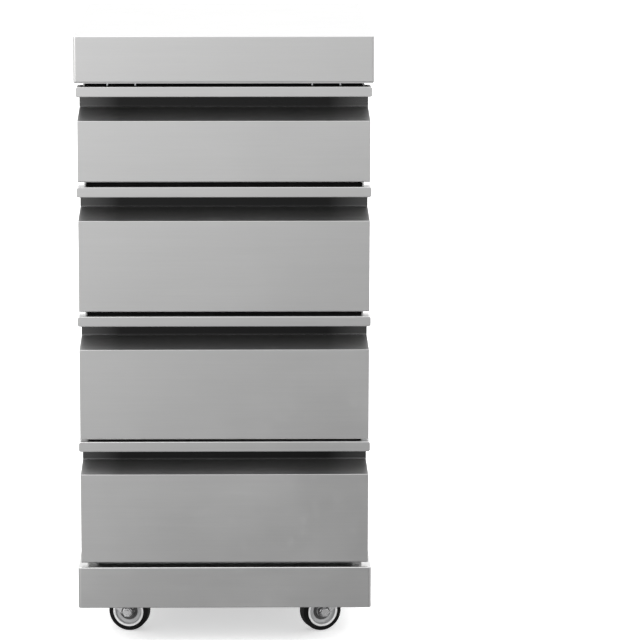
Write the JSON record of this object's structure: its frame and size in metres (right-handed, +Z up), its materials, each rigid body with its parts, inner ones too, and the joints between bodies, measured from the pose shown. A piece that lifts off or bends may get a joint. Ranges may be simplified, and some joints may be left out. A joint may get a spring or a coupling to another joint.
{
  "type": "mobile drawer cabinet",
  "caption": "Brushed stainless-steel cabinet with a folded worktop, sliding drawers opened by full-width grip recesses, and a plinth on swivel castors",
  "frame": {"origin": "on the floor, under the middle of the cabinet", "axes": "+Z up, the drawers face -Y, +X is to the right when facing the drawers"},
  "size_m": [0.45, 0.6, 0.948],
  "materials": {
    "brushed_steel": "brushed, grain across the front",
    "recess_steel": "satin, shaded",
    "galvanised_steel": "bright zinc",
    "rail_black": "matt black",
    "seal_rubber": "matt black",
    "castor_zinc": "bright zinc plate",
    "hub_plastic": "satin grey",
    "tyre_rubber": "smooth matt black",
    "bolt_zinc": "bright zinc plate"
  },
  "bodies": {
    "cabinet": {"worktop": "brushed_steel", "worktop_edge_bar": "brushed_steel", "worktop_channels": "galvanised_steel", "side_panel_left": "brushed_steel", "side_panel_right": "brushed_steel", "back_panel": "brushed_steel", "floor_panel": "galvanised_steel", "face_rails": "rail_black", "plinth": "brushed_steel", "castor_beams": "galvanised_steel", "castor_plates": "castor_zinc", "fasteners": "bolt_zinc", "slide_outer_1": "galvanised_steel", "slide_outer_2": "galvanised_steel", "slide_outer_3": "galvanised_steel", "slide_outer_4": "galvanised_steel"},
    "drawer_1": {"front_panel_1": "brushed_steel", "grip_rail_1": "brushed_steel", "front_liner_1": "recess_steel", "drawer_box_1": "recess_steel", "drawer_seal_1": "seal_rubber", "slide_inner_1": "galvanised_steel"},
    "slide_middle_1_pair": {"slide_middle_1": "galvanised_steel"},
    "drawer_2": {"front_panel_2": "brushed_steel", "grip_rail_2": "brushed_steel", "front_liner_2": "recess_steel", "drawer_box_2": "recess_steel", "drawer_seal_2": "seal_rubber", "slide_inner_2": "galvanised_steel"},
    "slide_middle_2_pair": {"slide_middle_2": "galvanised_steel"},
    "drawer_3": {"front_panel_3": "brushed_steel", "grip_rail_3": "brushed_steel", "front_liner_3": "recess_steel", "drawer_box_3": "recess_steel", "drawer_seal_3": "seal_rubber", "slide_inner_3": "galvanised_steel"},
    "slide_middle_3_pair": {"slide_middle_3": "galvanised_steel"},
    "drawer_4": {"front_panel_4": "brushed_steel", "grip_rail_4": "brushed_steel", "front_liner_4": "recess_steel", "drawer_box_4": "recess_steel", "drawer_seal_4": "seal_rubber", "slide_inner_4": "galvanised_steel"},
    "slide_middle_4_pair": {"slide_middle_4": "galvanised_steel"},
    "castor_front_left": {"castor_fork_front_left": "castor_zinc", "castor_axle_front_left": "bolt_zinc"},
    "wheel_front_left": {"wheel_hub_front_left": "hub_plastic", "tyre_front_left": "tyre_rubber"},
    "castor_front_right": {"castor_fork_front_right": "castor_zinc", "castor_axle_front_right": "bolt_zinc"},
    "wheel_front_right": {"wheel_hub_front_right": "hub_plastic", "tyre_front_right": "tyre_rubber"},
    "castor_rear_left": {"castor_fork_rear_left": "castor_zinc", "castor_axle_rear_left": "bolt_zinc"},
    "wheel_rear_left": {"wheel_hub_rear_left": "hub_plastic", "tyre_rear_left": "tyre_rubber"},
    "castor_rear_right": {"castor_fork_rear_right": "castor_zinc", "castor_axle_rear_right": "bolt_zinc"},
    "wheel_rear_right": {"wheel_hub_rear_right": "hub_plastic", "tyre_rear_right": "tyre_rubber"}
  },
  "joints": [
    {"name": "drawer_1_slide", "type": "slide", "parent": "cabinet", "child": "drawer_1", "axis": [0, -1, 0], "range_m": [0, 0.45]},
    {"name": "slide_middle_1_travel", "type": "slide", "parent": "cabinet", "child": "slide_middle_1_pair", "axis": [0, -1, 0], "range_m": [0, 0.225]},
    {"name": "drawer_2_slide", "type": "slide", "parent": "cabinet", "child": "drawer_2", "axis": [0, -1, 0], "range_m": [0, 0.45]},
    {"name": "slide_middle_2_travel", "type": "slide", "parent": "cabinet", "child": "slide_middle_2_pair", "axis": [0, -1, 0], "range_m": [0, 0.225]},
    {"name": "drawer_3_slide", "type": "slide", "parent": "cabinet", "child": "drawer_3", "axis": [0, -1, 0], "range_m": [0, 0.45]},
    {"name": "slide_middle_3_travel", "type": "slide", "parent": "cabinet", "child": "slide_middle_3_pair", "axis": [0, -1, 0], "range_m": [0, 0.225]},
    {"name": "drawer_4_slide", "type": "slide", "parent": "cabinet", "child": "drawer_4", "axis": [0, -1, 0], "range_m": [0, 0.45]},
    {"name": "slide_middle_4_travel", "type": "slide", "parent": "cabinet", "child": "slide_middle_4_pair", "axis": [0, -1, 0], "range_m": [0, 0.225]},
    {"name": "castor_front_left_swivel", "type": "hinge", "parent": "cabinet", "child": "castor_front_left", "pos_m": [-0.175, -0.168, 0.068], "axis": [0, 0, 1], "continuous": true},
    {"name": "wheel_front_left_spin", "type": "hinge", "parent": "castor_front_left", "child": "wheel_front_left", "pos_m": [-0.14962, -0.17363, 0.0315], "axis": [0.2164, 0.9763, 0], "continuous": true},
    {"name": "castor_front_right_swivel", "type": "hinge", "parent": "cabinet", "child": "castor_front_right", "pos_m": [0.175, -0.168, 0.068], "axis": [0, 0, 1], "continuous": true},
    {"name": "wheel_front_right_spin", "type": "hinge", "parent": "castor_front_right", "child": "wheel_front_right", "pos_m": [0.15057, -0.17689, 0.0315], "axis": [0.342, -0.9397, 0], "continuous": true},
    {"name": "castor_rear_left_swivel", "type": "hinge", "parent": "cabinet", "child": "castor_rear_left", "pos_m": [-0.175, 0.168, 0.068], "axis": [0, 0, 1], "continuous": true},
    {"name": "wheel_rear_left_spin", "type": "hinge", "parent": "castor_rear_left", "child": "wheel_rear_left", "pos_m": [-0.15027, 0.17603, 0.0315], "axis": [-0.309, 0.9511, 0], "continuous": true},
    {"name": "castor_rear_right_swivel", "type": "hinge", "parent": "cabinet", "child": "castor_rear_right", "pos_m": [0.175, 0.168, 0.068], "axis": [0, 0, 1], "continuous": true},
    {"name": "wheel_rear_right_spin", "type": "hinge", "parent": "castor_rear_right", "child": "wheel_rear_right", "pos_m": [0.14989, 0.17473, 0.0315], "axis": [-0.2588, -0.9659, 0], "continuous": true}
  ],
  "couplings": [
    {"joint": "slide_middle_1_travel", "follows": "drawer_1_slide", "ratio": 0.5},
    {"joint": "slide_middle_2_travel", "follows": "drawer_2_slide", "ratio": 0.5},
    {"joint": "slide_middle_3_travel", "follows": "drawer_3_slide", "ratio": 0.5},
    {"joint": "slide_middle_4_travel", "follows": "drawer_4_slide", "ratio": 0.5}
  ]
}
